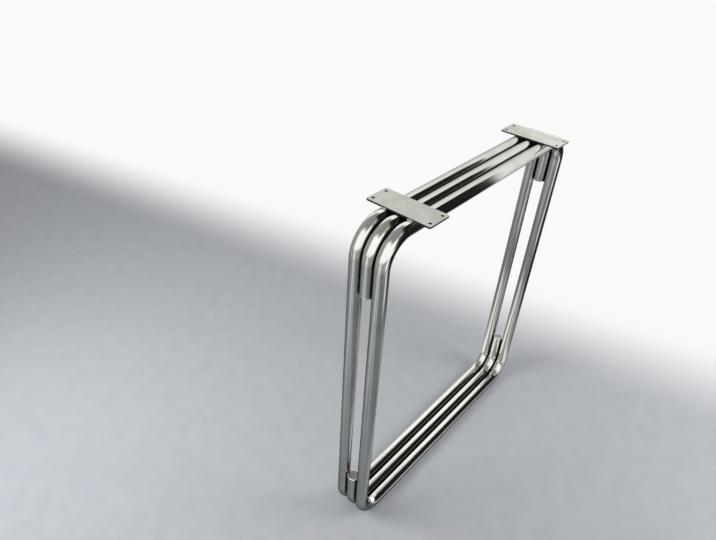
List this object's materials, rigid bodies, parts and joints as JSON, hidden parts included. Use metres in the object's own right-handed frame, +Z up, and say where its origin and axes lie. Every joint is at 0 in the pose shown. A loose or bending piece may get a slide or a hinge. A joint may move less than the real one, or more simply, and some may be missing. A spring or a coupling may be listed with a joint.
{
  "type": "table leg",
  "caption": "Upright table leg of polished round tubes bent side by side into a rounded rectangle, with short capped middle tubes and flat screw plates on top.",
  "frame": {"origin": "on the floor, under the middle of the leg", "axes": "+Z up to the table top, +X from the front upright to the rear one, +Y across the tubes"},
  "size_m": [0.616, 0.125, 0.72],
  "materials": {
    "polished_tube": "mirror polished",
    "polished_cap": "polished",
    "satin_plate": "satin",
    "weld_metal": "as welded"
  },
  "bodies": {
    "root": {"left_loop": "polished_tube", "right_loop": "polished_tube", "top_middle_tube": "polished_tube", "bottom_middle_tube": "polished_tube", "front_top_cap": "polished_cap", "rear_top_cap": "polished_cap", "front_bottom_cap": "polished_cap", "rear_bottom_cap": "polished_cap", "front_plate": "satin_plate", "rear_plate": "satin_plate", "plate_welds": "weld_metal"}
  },
  "joints": []
}
